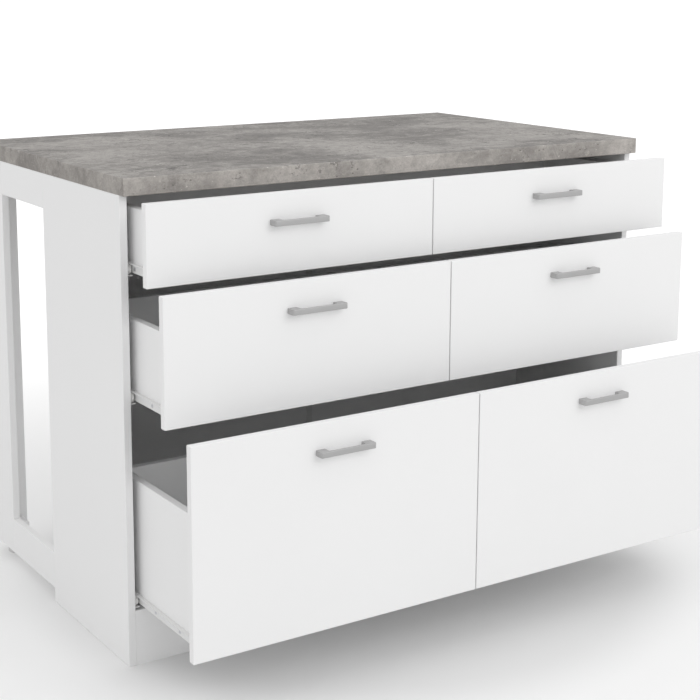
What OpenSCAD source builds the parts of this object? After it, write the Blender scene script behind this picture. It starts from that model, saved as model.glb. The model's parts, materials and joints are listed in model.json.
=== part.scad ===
// Kitchen island unit. A worktop lies on a carcass with three wide drawers at the front,
// and stands out over an open frame at each end of the back, which leaves knee room.
// Origin: on the floor, at mid width, in the plane of the carcass's front edges.
// +X runs to the right as seen from the drawers, +Y to the back, +Z up.
// The drawers are drawn pulled out, each by its own distance.

/* [Overall] */
// Width of the island and of its worktop
island_w = 1220; // [1000:5:1400]
// Height from the floor to the top of the worktop
island_h = 920; // [880:1:980]
// Depth of the worktop
worktop_d = 716; // [660:1:800]
// Thickness of the worktop
worktop_t = 32; // [22:1:40]
// How far the worktop stands proud of the carcass at the front
worktop_overhang = 18; // [16:1:30]

/* [Carcass] */
// Thickness of the side panels, bottom panel, plinth and frame boards
board_t = 15; // [15:0.5:19]
// Depth of the carcass, from the front edges of its sides to their back edges
carcass_d = 354; // [350:1:420]
// Height of the plinth, up to the top of the bottom panel
plinth_h = 108; // [80:1:130]
// Thickness of the two back panels
back_t = 8; // [6:0.5:10]
// How far the back panels lie in from the back edges of the sides
back_inset = 2; // [1.5:0.5:4]
// Narrow bevel on the edges of every coated board
edge_bevel = 0.8; // [0.4:0.1:1.5]

/* [Side frames under the overhang] */
// Height of the frame's top rail
rail_top_h = 70; // [50:1:90]
// Height of the frame's bottom rail
rail_bottom_h = 77; // [60:1:100]
// Gap between the frame and the floor
frame_lift = 29; // [22:1:40]
// Width of the leg, seen from the end of the island
leg_w = 120; // [90:1:150]
// Width of the board that turns the leg into an angle, seen from the back
leg_return_w = 57; // [54:1:80]
// Side of the square block in the corner of the leg
block_w = 44; // [40:1:50]
// Height of the block in the corner of the leg
block_h = 40; // [32:1:60]
// Diameter of the foot's pad
foot_d = 38; // [30:1:40]
// Diameter of the foot's screw, which turns in the block
foot_screw_d = 8; // [6:0.5:10]

/* [Drawer fronts] */
// Height of the top pair of drawer fronts
front_1_h = 148; // [135:1:160]
// Height of the middle pair of drawer fronts
front_2_h = 234; // [200:1:250]
// Thickness of the drawer fronts
front_t = 15; // [15:0.5:16]
// Gap between one front and the next above it
front_gap = 3; // [2:0.5:4]
// Gap between the left and right front of a drawer
centre_gap = 2; // [1:0.5:4]

/* [Drawer boxes] */
// Depth of a drawer box, from the back of its fronts to its own back
box_d = 338; // [332:1:340]
// Thickness of the boards of a drawer box
box_t = 15; // [12:0.5:16]
// Height of the top drawer's box
box_1_h = 117; // [95:1:122]
// Height of the middle drawer's box
box_2_h = 149; // [110:1:180]
// Height of the bottom drawer's box
box_3_h = 237; // [180:1:280]
// How far a box lies above the lower edge of its front
box_lift = 9; // [8:0.5:12]
// Thickness of the drawer bottoms
bottom_t = 4; // [3:0.5:5]
// Depth of the grooves that hold the drawer bottoms
groove_depth = 5; // [4:0.5:7]
// How far the inner front and the back are let into the sides
housing = 4; // [3:0.5:6]
// Height of a drawer bottom's underside above the lower edge of the box
bottom_up = 10; // [9:0.5:14]
// Gap between a drawer box and the side panel, which the runners fill
side_gap = 12.5; // [12.5:0.1:13.5]

/* [Runners] */
// How far the runners end ahead of the back of their box
runner_end = 11; // [8:1:24]
// Thickness of the runner's folded steel
steel_t = 1.2; // [1:0.1:1.4]
// Height of the drawer's runner above the lower edge of the box
runner_h = 17; // [17:0.5:19]
// Width of the runner's leg under the drawer side
runner_leg = 12; // [9:0.5:12]
// Diameter of the roller at the front of the carcass's runner
front_roller_d = 20; // [18:0.5:21]
// Diameter of the roller at the back of the drawer's runner
back_roller_d = 22; // [22:0.5:23]
// Width of a roller
roller_w = 6; // [5:0.5:6]
// Diameter of a roller's pin
roller_pin_d = 5; // [4:0.5:6]
// How far a drawer travels, from closed to its stop
travel = 250; // [245:1:255]

/* [Drawers as drawn] */
// How far the top drawer is pulled out
pull_1 = 90; // [0:1:240]
// How far the middle drawer is pulled out
pull_2 = 150; // [0:1:240]
// How far the bottom drawer is pulled out
pull_3 = 244; // [0:1:244]

/* [Handles] */
// Length of a handle across its feet
handle_l = 116; // [112:1:140]
// Height of a handle at its ends
handle_h = 10.5; // [10:0.5:16]
// How far a handle stands out from its front
handle_out = 20; // [18:0.5:28]
// Thickness of the handle's bar
handle_bar_t = 6; // [5:0.5:8]
// Width of a handle's foot
handle_foot_w = 20; // [14:0.5:22]
// How much narrower the bar is at each end than the feet
handle_slant = 0.5; // [0.5:0.5:8]
// How far the bar's top and bottom edges dip at the middle
handle_waist = 0.4; // [0.3:0.1:1.5]
// Distance between the two screws of a handle
handle_holes = 96; // [94:1:98]
// Distance from the top of a front down to the middle of its handle
handle_drop = 53; // [43:1:60]

/* [Fixings] */
// Length of each leg of the angle brackets under the worktop
bracket_l = 22; // [18:1:30]
// Width of the brackets
bracket_w = 20; // [16:1:30]
// Thickness of the brackets
bracket_t = 2; // [1.5:0.5:3]
// Length of the brackets' screws in the wood
bracket_screw_l = 11; // [9:0.5:12]
// Diameter of the wooden dowels
dowel_d = 8; // [6:0.5:9]
// Length of the wooden dowels
dowel_l = 30; // [26:1:34]
// Depth of a dowel in a face, the rest being in an edge
dowel_face = 10; // [8:0.5:11]
// Shank diameter of the screws in the drawers
screw_d = 4; // [3.5:0.1:4.2]
// Head diameter of the screws in the drawers
screw_head_d = 8; // [7:0.5:9]
// Shank diameter of the screws that hold the carcass's runners
rail_screw_d = 6; // [5:0.5:6.5]
// Length of those screws in the side panel
rail_screw_l = 11; // [9:0.5:12]

/* [Hidden] */
$fn = 48;

// Clearances
run_gap = 0.3;          // between a roller and the steel that it runs on
pin_gap = 0.05;         // round a roller's pin
side_play = 0.1;        // beside a roller, along its pin
hole_gap = 0.05;        // round a dowel or a screw's shank
panel_gap = 0.2;        // above and beside a panel in its groove
flange_gap = 1;         // between the folded edges of the two runners
lift_gap = 0.8;         // over the drawer runner's flange, inside the carcass's runner

// Small sizes of the fittings and their places
dowel_end = 20;         // from the end of a short joint to its first dowel
dowel_edge = 60;        // the same for a long joint
groove_wall = 0.5;      // wood left between the back's groove and the frame's dowels
front_screw_side = 100; // from the side of a front to its first screws
front_screw_end = 26;   // from the lower and upper edge of the box to them
runner_y0 = 2;          // from the box's front to the front end of its runners
roller_end = 2;         // from the front end of the carcass's runner to its roller
runner_screw_1 = 86;    // from the front end of a runner to its first screw
runner_screw_2 = 182;   // the same for its second screw
runner_screw_end = 40;  // from the back end of a runner to its last screw
bracket_from = 45;      // from the middle of the frame's top rail to its brackets
head_t = 2.4;           // height of a pan head
head_round = 1;         // radius of its rim
flat_head_t = 0.9;      // height of the flat heads inside the runners
rivet_rim = 1.5;        // how far a pin's head reaches past the pin
rivet_r = roller_pin_d / 2 + rivet_rim;
rivet_t = 1;
shoulder_t = 0.9;
joiner_t = 1.2;         // thickness of the plastic strip that joins two panels
joiner_w = 14;          // width of its flanges
rib_t = 1.6;            // thickness of the upright rib of the drawer's centre strip
rib_low = 1;            // how far the rib ends above the lower edges of the drawer's sides
handle_thread = 8;      // how far a handle's screw goes into its foot
front_thread = 11;      // how far a front's screw goes into the front
stop_r = 3;             // radius of the bump that stops the drawer's roller
hook_l = 30;            // length without a top flange, where the drawer is hooked in
past = 1;               // how far a cut runs past the face that it starts from
hole_end = 0.5;         // room behind the tip of a screw
flat_rim = 2;           // how far the flat heads of the carcass's screws reach past the shank

// Planes of the carcass
half_w = island_w / 2;
inner_x = half_w - board_t;
under_z = island_h - worktop_t;
worktop_y0 = -worktop_overhang;
worktop_y1 = worktop_y0 + worktop_d;
back_y1 = carcass_d - back_inset;
back_groove = (board_t - dowel_d) / 2 - groove_wall;
back_y0 = back_y1 - back_t;
leg_y0 = worktop_y1 - leg_w;
return_y0 = worktop_y1 - board_t;
window_z0 = frame_lift + rail_bottom_h;
window_z1 = under_z - rail_top_h;
edge_x = half_w - board_t / 2;    // middle of a side board's thickness

// Rows, from the top: heights and levels of the fronts and of the boxes
top_gap = centre_gap;
front_3_h = under_z - 2 * top_gap - front_1_h - front_2_h - 2 * front_gap - plinth_h;
rows = [0, 1, 2];
front_h = [front_1_h, front_2_h, front_3_h];
front_z = [
    under_z - top_gap - front_1_h,
    under_z - top_gap - front_1_h - front_gap - front_2_h,
    under_z - top_gap - front_1_h - front_gap - front_2_h - front_gap - front_3_h
];
pull = [pull_1, pull_2, pull_3];
box_h = [box_1_h, box_2_h, box_3_h];
function box_z(row) = front_z[row] + box_lift;
function handle_z(row) = front_z[row] + front_h[row] - handle_drop;
half_box = inner_x - side_gap;
inner_box_x = half_box - box_t;
front_w = half_w - centre_gap / 2;
front_mid_x = centre_gap / 2 + front_w / 2;

// Runners, measured from the side panel's inner face towards the drawer
channel_h = back_roller_d + 2 * run_gap + 2 * steel_t;
channel_w = side_gap - steel_t - flange_gap;
channel_drop = channel_h - runner_h - lift_gap - steel_t;   // from the box down to the channel
runner_l = box_d - runner_y0 - runner_end;
front_roller_y = runner_y0 + front_roller_d / 2 + roller_end;
front_roller_up = runner_h - steel_t - run_gap - front_roller_d / 2;
back_roller_up = channel_h / 2 - channel_drop;
back_roller_y = runner_y0 + runner_l - back_roller_d / 2 - roller_end / 2;
flange_w = side_gap - steel_t - rivet_t - shoulder_t - flange_gap;
stop_y = back_roller_y - travel - back_roller_d / 2 - stop_r;
runner_screws = [runner_screw_1, runner_screw_2, runner_l - runner_screw_end];

// Handles
bar_corner = 4;
foot_fillet = 3;

// Nodes
DRAWER_PIECES = [
    "front_left", "front_right", "handles", "side_left", "side_right", "inner_front",
    "back", "bottom_panels", "centre_strip", "runners", "rollers", "screws"
];

// ---- Shared shapes ----

module both_sides() {
    children();
    mirror([1, 0, 0]) children();
}

module bevelled_rectangle(a, b) {
    e = edge_bevel;
    polygon([[e, 0], [a - e, 0], [a, e], [a, b - e], [a - e, b], [e, b], [0, b - e], [0, e]]);
}

// A coated board with a narrow bevel along its twelve edges
module board(size) {
    intersection() {
        linear_extrude(height = size.z) bevelled_rectangle(size.x, size.y);
        translate([0, size.y, 0]) rotate([90, 0, 0])
            linear_extrude(height = size.y) bevelled_rectangle(size.x, size.z);
        rotate([90, 0, 90]) linear_extrude(height = size.x) bevelled_rectangle(size.y, size.z);
    }
}

// A profile drawn as [across, up], run to the back from y by length
module run_back(y, length) {
    translate([0, y + length, 0]) rotate([90, 0, 0]) linear_extrude(height = length) children();
}

module along_x(r, x0, x1) {
    translate([x0, 0, 0]) rotate([0, 90, 0]) cylinder(r = r, h = x1 - x0);
}

module along_y(r, y0, y1) {
    translate([0, y0, 0]) rotate([-90, 0, 0]) cylinder(r = r, h = y1 - y0);
}

// A pan-head screw pointing along -Y, its head's underside at y = 0
module screw(length) {
    along_y(screw_d / 2, -length, head_t / 2);
    rotate([-90, 0, 0]) rotate_extrude()
        polygon(concat(
            [[0, 0], [screw_head_d / 2, 0]],
            arc(screw_head_d / 2 - head_round, head_t - head_round, head_round, 0, 90),
            [[0, head_t]]
        ));
}

// Points on an arc round [cx, cy], from angle a to angle b
function arc(cx, cy, r, a, b, steps = 6) =
    [for (i = [0:steps]) [cx + r * cos(a + (b - a) * i / steps), cy + r * sin(a + (b - a) * i / steps)]];

// ---- Dowels and their holes ----

// A dowel lies along +Z from the face of one board into the edge of the next
module dowel(gap = 0) {
    spare = gap > 0 ? past : 0;
    translate([0, 0, -dowel_face - spare]) cylinder(d = dowel_d + 2 * gap, h = dowel_l + 2 * spare);
}

// Every dowel on the right-hand side of the island
module dowels_of_one_side(gap = 0) {
    // Bottom panel and plinth into the side panel's inner face
    for (y = [dowel_edge, back_y0 - dowel_edge])
        translate([inner_x, y, plinth_h - board_t / 2]) rotate([0, -90, 0]) dowel(gap);
    for (z = [dowel_end, plinth_h - dowel_end])
        translate([inner_x, board_t / 2, z]) rotate([0, -90, 0]) dowel(gap);
    // Side panel, top rail and leg into the worktop's underside
    for (y = [
        dowel_edge, carcass_d - dowel_edge,
        (carcass_d + leg_y0) / 2,
        leg_y0 + dowel_end, return_y0 - dowel_end
    ])
        translate([edge_x, y, under_z]) rotate([180, 0, 0]) dowel(gap);
    // Frame rails between the side panel's back edge and the leg
    for (z = [window_z1 + dowel_end, under_z - dowel_end, frame_lift + dowel_end, window_z0 - dowel_end])
        for (y = [carcass_d + dowel_face - dowel_l / 2, leg_y0 + dowel_face - dowel_l / 2])
            translate([edge_x, y, z]) rotate([-90, 0, 0]) dowel(gap);
    // Return board into the leg's inner face
    for (z = [frame_lift + block_h + dowel_edge, (frame_lift + under_z) / 2, under_z - dowel_edge])
        translate([inner_x, worktop_y1 - board_t / 2, z]) rotate([0, -90, 0]) dowel(gap);
}

module dowels() color("burlywood") both_sides() dowels_of_one_side();

// Middles of the brackets along one side: two on the frame's top rail, one on the leg
rail_mid = (carcass_d + leg_y0) / 2;
bracket_ys = [rail_mid - bracket_from, rail_mid + bracket_from, (leg_y0 + return_y0) / 2];

// Places the child at the middle of each leg of a bracket on the right-hand side, with -Y
// pointing into the wood
module at_bracket_screws() {
    for (y = bracket_ys) {
        translate([inner_x, y, under_z - bracket_l / 2 - bracket_t / 2]) rotate([0, 0, 90]) children();
        translate([inner_x - bracket_l / 2 - bracket_t / 2, y, under_z]) rotate([-90, 0, 0]) children();
    }
}

// Takes the holes for the dowels and for the brackets' screws out of a board
module drilled() {
    difference() {
        children();
        both_sides() dowels_of_one_side(hole_gap);
        both_sides() at_bracket_screws() along_y(screw_d / 2 + hole_gap, -bracket_screw_l - hole_end, past);
    }
}

// ---- Carcass ----

module worktop() color("dimgray") drilled()
    translate([-half_w, worktop_y0, under_z]) board([island_w, worktop_d, worktop_t]);

// The right-hand side panel, with a groove for the back and holes for the runners
module side_panel() {
    difference() {
        drilled() translate([inner_x, 0, 0]) board([board_t, carcass_d, under_z]);
        translate([inner_x - past, back_y0 - panel_gap / 2, -past])
            cube([back_groove + past, back_t + panel_gap, under_z + 2 * past]);
        for (row = rows) for (y = runner_screws)
            translate([0, runner_y0 + y, channel_mid_z(row)])
                along_x(rail_screw_d / 2 + hole_gap, inner_x - past, inner_x + rail_screw_l + hole_end);
    }
}
function channel_mid_z(row) = box_z(row) - channel_drop + channel_h / 2;

module side_left() color("white") mirror([1, 0, 0]) side_panel();
module side_right() color("white") side_panel();

module bottom_panel() color("white") drilled()
    translate([-inner_x, board_t, plinth_h - board_t])
        board([2 * inner_x, back_y0 - joiner_t - board_t, board_t]);

module plinth() color("white") drilled()
    translate([-inner_x, 0, 0]) cube([2 * inner_x, board_t, plinth_h]);

// The right-hand half of the back, whose outer edge lies in the side panel's groove
module back_panel() {
    web = joiner_t / 2;
    translate([web, back_y0, 0])
        board([inner_x + back_groove - panel_gap - web, back_t, under_z]);
}
module back_left() color("white") mirror([1, 0, 0]) back_panel();
module back_right() color("white") back_panel();

// H-shaped strip that joins the two halves of the back
module back_joiner() color("gainsboro") {
    w = joiner_w / 2;
    web = joiner_t / 2;
    linear_extrude(height = under_z) {
        translate([-web, back_y0 - joiner_t]) square([joiner_t, back_t + 2 * joiner_t]);
        for (y = [back_y0 - joiner_t, back_y1]) translate([-w, y]) square([joiner_w, joiner_t]);
    }
}

// ---- Open frame at each end ----

module frame_rail(z, height) {
    drilled() translate([inner_x, carcass_d, z]) board([board_t, leg_y0 - carcass_d, height]);
}
module frame_top_rail_left() color("white") mirror([1, 0, 0]) frame_rail(window_z1, rail_top_h);
module frame_top_rail_right() color("white") frame_rail(window_z1, rail_top_h);
module frame_bottom_rail_left() color("white") mirror([1, 0, 0]) frame_rail(frame_lift, rail_bottom_h);
module frame_bottom_rail_right() color("white") frame_rail(frame_lift, rail_bottom_h);

module leg() drilled()
    translate([inner_x, leg_y0, frame_lift]) board([board_t, leg_w, under_z - frame_lift]);
module leg_left() color("white") mirror([1, 0, 0]) leg();
module leg_right() color("white") leg();

module leg_return() drilled()
    translate([inner_x - leg_return_w, return_y0, frame_lift])
        board([leg_return_w, board_t, under_z - frame_lift]);
module leg_return_left() color("white") mirror([1, 0, 0]) leg_return();
module leg_return_right() color("white") leg_return();

// Angle brackets that hold the worktop to the frame, with their screws
module worktop_brackets() color("silver") both_sides() {
    difference() {
        for (y = bracket_ys) translate([inner_x - bracket_l, 0, under_z - bracket_l])
            run_back(y - bracket_w / 2, bracket_w) difference() {
                square(bracket_l);
                translate([-bracket_t, -bracket_t]) square(bracket_l);
            }
        at_bracket_screws() along_y(screw_d / 2 + hole_gap, -past, bracket_t + past);
    }
    at_bracket_screws() translate([0, bracket_t, 0]) screw(bracket_t + bracket_screw_l);
}

// Where the foot stands, in the middle of the block
foot_x = inner_x - block_w / 2;
foot_y = return_y0 - block_w / 2;

module leg_blocks() color("white") both_sides()
    difference() {
        translate([inner_x - block_w, return_y0 - block_w, frame_lift])
            cube([block_w, block_w, block_h]);
        translate([foot_x, foot_y, frame_lift - past])
            cylinder(d = foot_screw_d + 2 * hole_gap, h = block_h * 0.7 + past);
    }

// Levelling foot: a pad with a rounded rim, a collar under the block, and its screw
module leg_feet() color("gainsboro") both_sides() translate([foot_x, foot_y, 0]) {
    r = foot_d / 2;
    sole = 1;
    rim = 2.5;
    pad = 5;
    taper = 3;
    collar = 6;
    slope = 2;
    neck = r * 0.55;
    rotate_extrude()
        polygon(concat(
            [[0, 0], [r - sole, 0], [r, sole]],
            arc(r - rim, pad, rim, 0, 90),
            [[neck, pad + rim + taper], [neck, frame_lift - collar],
             [r * 0.8, frame_lift - collar + slope],
             [r * 0.8, frame_lift], [foot_screw_d / 2, frame_lift],
             [foot_screw_d / 2, frame_lift + block_h * 0.6], [0, frame_lift + block_h * 0.6]]
        ));
}

// ---- Roller runners ----

// Folded channel on the side panel, open towards the drawer
module channel_profile() {
    polygon([
        [0, 0], [channel_w, 0], [channel_w, steel_t], [steel_t, steel_t],
        [steel_t, channel_h - steel_t], [channel_w, channel_h - steel_t],
        [channel_w, channel_h], [0, channel_h]
    ]);
}

// A riveted pin with its shoulder and head, pointing along +X from x = 0
module roller_pin() {
    along_x(rivet_r, 0, shoulder_t);
    along_x(roller_pin_d / 2, 0, shoulder_t + roller_w + 2 * side_play + rivet_t);
    along_x(rivet_r, shoulder_t + roller_w + 2 * side_play, shoulder_t + roller_w + 2 * side_play + rivet_t);
}

// A nylon roller, a little crowned, whose bore starts at x = 0
module roller(d) {
    r = d / 2;
    crown = 0.4;
    rotate([0, 90, 0]) rotate_extrude()
        polygon([
            [roller_pin_d / 2 + pin_gap, 0], [r - crown, 0], [r, crown],
            [r, roller_w - crown], [r - crown, roller_w], [roller_pin_d / 2 + pin_gap, roller_w]
        ]);
}

// The left-hand runner of the carcass, drawn from the side panel's inner face at x = 0
module carcass_runner(row) {
    z0 = box_z(row) - channel_drop;
    difference() {
        translate([0, 0, z0]) run_back(runner_y0, runner_l) channel_profile();
        // No top flange at the front, so that the drawer can be hooked in
        translate([steel_t, runner_y0 - past, z0 + channel_h / 2])
            cube([channel_w, hook_l + past, channel_h]);
        for (y = runner_screws) translate([0, runner_y0 + y, z0 + channel_h / 2])
            along_x(rail_screw_d / 2 + hole_gap, -past, steel_t + past);
    }
    translate([steel_t, front_roller_y, box_z(row) + front_roller_up]) roller_pin();
    // Bump that stops the drawer's roller at the end of its travel
    intersection() {
        translate([0, stop_y, z0]) along_x(stop_r, steel_t / 2, channel_w);
        translate([0, 0, z0 + steel_t / 2]) cube([channel_w, carcass_d, stop_r]);
    }
    for (y = runner_screws) translate([0, runner_y0 + y, z0 + channel_h / 2]) {
        along_x(rail_screw_d / 2, -rail_screw_l, steel_t + flat_head_t);
        along_x(rail_screw_d / 2 + flat_rim, steel_t, steel_t + flat_head_t);
    }
}

module carcass_runners() color("whitesmoke") both_sides()
    for (row = rows) translate([-inner_x, 0, 0]) carcass_runner(row);

module carcass_rollers(row) color("ivory") both_sides()
    translate([-inner_x + steel_t + shoulder_t + side_play, front_roller_y, box_z(row) + front_roller_up])
        roller(front_roller_d);

// Folded strip on the drawer side: a leg under it, a web beside it, and the flange that rolls
module drawer_runner_profile() {
    web = side_gap - steel_t;
    polygon([
        [side_gap + runner_leg, -steel_t], [side_gap + runner_leg, 0], [side_gap, 0],
        [side_gap, runner_h], [side_gap - flange_w, runner_h],
        [side_gap - flange_w, runner_h - steel_t], [web, runner_h - steel_t], [web, -steel_t]
    ]);
}

// Everything of a drawer is drawn closed, then moved out by the drawer's pull
module pulled(row) translate([0, -pull[row], 0]) children();

module drawer_runners(row) color("whitesmoke") pulled(row) both_sides()
    translate([-inner_x, 0, box_z(row)]) {
        difference() {
            run_back(runner_y0, runner_l) drawer_runner_profile();
            // The flange ends ahead of the roller
            translate([0, back_roller_y - back_roller_d / 2 - roller_end, runner_h - 2 * steel_t])
                cube([side_gap - steel_t, 2 * back_roller_d, 3 * steel_t]);
            for (y = runner_screws) translate([0, y, back_roller_up])
                along_x(screw_d / 2 + hole_gap, side_gap - 2 * steel_t, side_gap + past);
        }
        translate([side_gap - steel_t, back_roller_y, back_roller_up]) mirror([1, 0, 0]) roller_pin();
    }

module drawer_rollers(row) color("ivory") pulled(row) both_sides()
    translate([
        -inner_x + side_gap - steel_t - shoulder_t - side_play - roller_w,
        back_roller_y,
        box_z(row) + back_roller_up
    ])
        roller(back_roller_d);

// ---- Drawers ----

// Through which boards a handle's screws pass: the front, and the inner front where it is as high
function grip(row) = handle_z(row) < box_z(row) + box_h[row] + screw_head_d ? front_t + box_t : front_t;

// The screws of one half of a drawer: [x, z] in the inner front
function front_screws(row) = [
    for (x = [front_screw_side, inner_box_x - front_screw_side])
        for (z = [front_screw_end, box_h[row] - front_screw_end])
            [x, box_z(row) + z]
];
function handle_screws(row) = [for (s = [-1, 1]) [front_mid_x + s * handle_holes / 2, handle_z(row)]];

module drawer_front(row) color("white") pulled(row) difference() {
    translate([centre_gap / 2, -front_t, front_z[row]]) board([front_w, front_t, front_h[row]]);
    for (p = handle_screws(row))
        translate([p.x, 0, p.y]) along_y(screw_d / 2 + hole_gap, -front_t - past, past);
    for (p = front_screws(row)) translate([p.x, 0, p.y])
        along_y(screw_d / 2 + hole_gap, -front_thread - hole_end, past);
}

module drawer_side(row) color("white") pulled(row) difference() {
    translate([inner_box_x, 0, box_z(row)]) board([box_t, box_d, box_h[row]]);
    for (y = [-past, box_d - box_t])
        translate([inner_box_x - past, y, box_z(row) - past])
            cube([housing + past, box_t + past, box_h[row] + 2 * past]);
    translate([inner_box_x - past, box_t - groove_depth, box_z(row) + bottom_up])
        cube([groove_depth + past, box_d - 2 * box_t + 2 * groove_depth, bottom_t + panel_gap]);
    translate([0, 0, box_z(row)]) for (y = runner_screws) translate([0, y, back_roller_up])
        along_x(screw_d / 2 + hole_gap, half_box - box_t * 0.8, half_box + past);
}

// The inner front and the back are alike: a board let into the sides, with a groove inside
module cross_board(row, y, groove_side) {
    x = inner_box_x + housing;
    difference() {
        translate([-x, y, box_z(row)]) board([2 * x, box_t, box_h[row]]);
        translate([-x - past, y + groove_side, box_z(row) + bottom_up])
            cube([2 * x + 2 * past, groove_depth + past, bottom_t + panel_gap]);
    }
}

module inner_front(row) color("white") pulled(row) difference() {
    cross_board(row, 0, box_t - groove_depth);
    both_sides() for (p = concat(front_screws(row), handle_screws(row)))
        translate([p.x, 0, p.y]) along_y(screw_d / 2 + hole_gap, -past, box_t + past);
}

module drawer_back(row) color("white") pulled(row) cross_board(row, box_d - box_t, -past);

module bottom_panels(row) color("gainsboro") pulled(row) both_sides()
    translate([rib_t / 2, box_t - groove_depth + panel_gap, box_z(row) + bottom_up])
        cube([
            inner_box_x + groove_depth - panel_gap - rib_t / 2,
            box_d - 2 * (box_t - groove_depth + panel_gap),
            bottom_t
        ]);

// Strip under the middle of the drawer: it joins the two bottom panels and stiffens them
module centre_strip(row) color("gainsboro") pulled(row) translate([0, 0, box_z(row)]) {
    w = joiner_w / 2;
    low = bottom_up;
    high = bottom_up + bottom_t;
    run_back(box_t, box_d - 2 * box_t) {
        translate([-rib_t / 2, rib_low]) square([rib_t, high + joiner_t - rib_low]);
        translate([-w, low - joiner_t]) square([joiner_w, joiner_t]);
        translate([-w, high]) square([joiner_w, joiner_t]);
    }
}

// Bow handle: its plan, cut by its front view, which dips a little at the middle
module handle() {
    half = handle_l / 2;
    end = half - handle_slant;
    foot = half - handle_foot_w;
    bar_in = handle_out - handle_bar_t;
    hollow = foot - foot_fillet * 0.5;
    dip_r = (pow(foot, 2) + pow(handle_waist, 2)) / (2 * handle_waist);
    difference() {
        translate([0, 0, -handle_h / 2]) linear_extrude(height = handle_h) polygon(concat(
            [[half, 0]],
            arc(end - bar_corner, -handle_out + bar_corner, bar_corner, 0, -90),
            arc(-end + bar_corner, -handle_out + bar_corner, bar_corner, -90, -180),
            [[-half, 0], [-foot, 0]],
            arc(-hollow + foot_fillet, -bar_in + foot_fillet, foot_fillet, 180, 270),
            arc(hollow - foot_fillet, -bar_in + foot_fillet, foot_fillet, 270, 360),
            [[foot, 0]]
        ));
        for (s = [-1, 1]) translate([0, 0, s * (handle_h / 2 + dip_r - handle_waist)])
            along_y(dip_r, -handle_out - past, past, $fn = 360);
        for (s = [-1, 1]) translate([s * handle_holes / 2, 0, 0])
            along_y(screw_d / 2 + hole_gap, -handle_thread - past, past);
    }
}

module handles(row) color("silver") pulled(row) for (s = [-1, 1])
    translate([s * front_mid_x, -front_t, handle_z(row)]) handle();

module screws(row) color("silver") pulled(row) both_sides() {
    for (p = front_screws(row)) translate([p.x, box_t, p.y]) screw(box_t + front_thread);
    for (p = handle_screws(row)) translate([p.x, grip(row) - front_t, p.y]) screw(grip(row) + handle_thread);
    // Flat-headed screws that hold the runner to the drawer side
    for (y = runner_screws) translate([0, y, box_z(row) + back_roller_up]) {
        along_x(screw_d / 2, half_box - box_t * 0.75, half_box + steel_t + flat_head_t);
        along_x(screw_d / 2 + rivet_rim, half_box + steel_t, half_box + steel_t + flat_head_t);
    }
}

// ---- Nodes ----

worktop();
side_left();
side_right();
bottom_panel();
plinth();
back_left();
back_right();
back_joiner();
frame_top_rail_left();
frame_top_rail_right();
frame_bottom_rail_left();
frame_bottom_rail_right();
leg_left();
leg_right();
leg_return_left();
leg_return_right();
leg_blocks();
leg_feet();
worktop_brackets();
dowels();
carcass_runners();
for (row = rows) {
    drawer = str("drawer_", row + 1, "_");
    carcass_rollers(row);
    mirror([1, 0, 0]) drawer_front(row);
    drawer_front(row);
    handles(row);
    mirror([1, 0, 0]) drawer_side(row);
    drawer_side(row);
    inner_front(row);
    drawer_back(row);
    bottom_panels(row);
    centre_strip(row);
    drawer_runners(row);
    drawer_rollers(row);
    screws(row);
}
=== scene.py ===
# %% [markdown]
# # Dressing a kitchen island
#
# The island is a worktop on a carcass with three wide drawers, and an open frame carries the
# overhang at the back. Its shapes come from the CAD model, which this script loads as a frame.
# What is left to do here is what a picture needs: a camera, soft light, real-looking finishes,
# and the small fittings whose detail the solids leave out.

import json
import math

import bmesh
import bpy
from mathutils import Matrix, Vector


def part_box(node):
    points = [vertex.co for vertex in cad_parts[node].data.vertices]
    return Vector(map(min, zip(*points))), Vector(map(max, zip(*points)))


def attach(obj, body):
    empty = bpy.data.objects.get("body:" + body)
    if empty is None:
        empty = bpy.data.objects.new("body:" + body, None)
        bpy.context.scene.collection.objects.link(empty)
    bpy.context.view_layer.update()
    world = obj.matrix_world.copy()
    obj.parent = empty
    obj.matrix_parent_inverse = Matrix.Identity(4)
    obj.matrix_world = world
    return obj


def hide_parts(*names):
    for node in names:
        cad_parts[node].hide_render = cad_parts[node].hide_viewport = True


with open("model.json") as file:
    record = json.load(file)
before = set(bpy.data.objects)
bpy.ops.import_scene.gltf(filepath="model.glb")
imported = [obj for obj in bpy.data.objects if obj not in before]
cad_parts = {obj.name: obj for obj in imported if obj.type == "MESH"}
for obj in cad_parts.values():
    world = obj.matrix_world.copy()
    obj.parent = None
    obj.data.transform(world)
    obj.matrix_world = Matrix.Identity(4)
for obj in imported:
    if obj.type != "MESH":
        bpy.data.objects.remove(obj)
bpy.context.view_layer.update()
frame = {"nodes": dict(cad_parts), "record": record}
nodes = frame["nodes"]

# %% [markdown]
# ## Camera
#
# Product pictures of furniture are taken with a long lens from a few metres away, so that the
# boards stay nearly parallel. The camera stands to the left of the open drawers at chest height
# and looks a little down. A small lens shift puts the island where the picture has it. Without
# it the camera would tilt more, and the upright edges would run together.

# %% Camera
LENS = 77.5  # millimetres
LENS_SHIFT = (0.06, -0.15)
CAMERA_PLACE = (-1.718, -2.399, 1.276)
TILT_DOWN, TURN_RIGHT = math.radians(10.3), math.radians(32.02)
FARTHEST = 200  # metres that the camera sees, past the end of the floor

scene = bpy.context.scene
camera = bpy.data.objects.new("camera", bpy.data.cameras.new("camera"))
scene.collection.objects.link(camera)
bpy.context.scene.camera = camera
camera.location = CAMERA_PLACE
camera.rotation_euler = (math.radians(90) - TILT_DOWN, 0, -TURN_RIGHT)
camera.data.lens = LENS
camera.data.shift_x, camera.data.shift_y = LENS_SHIFT
camera.data.clip_end = FARTHEST
print("camera at", CAMERA_PLACE, "lens", LENS, "mm, shift", LENS_SHIFT)

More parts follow.
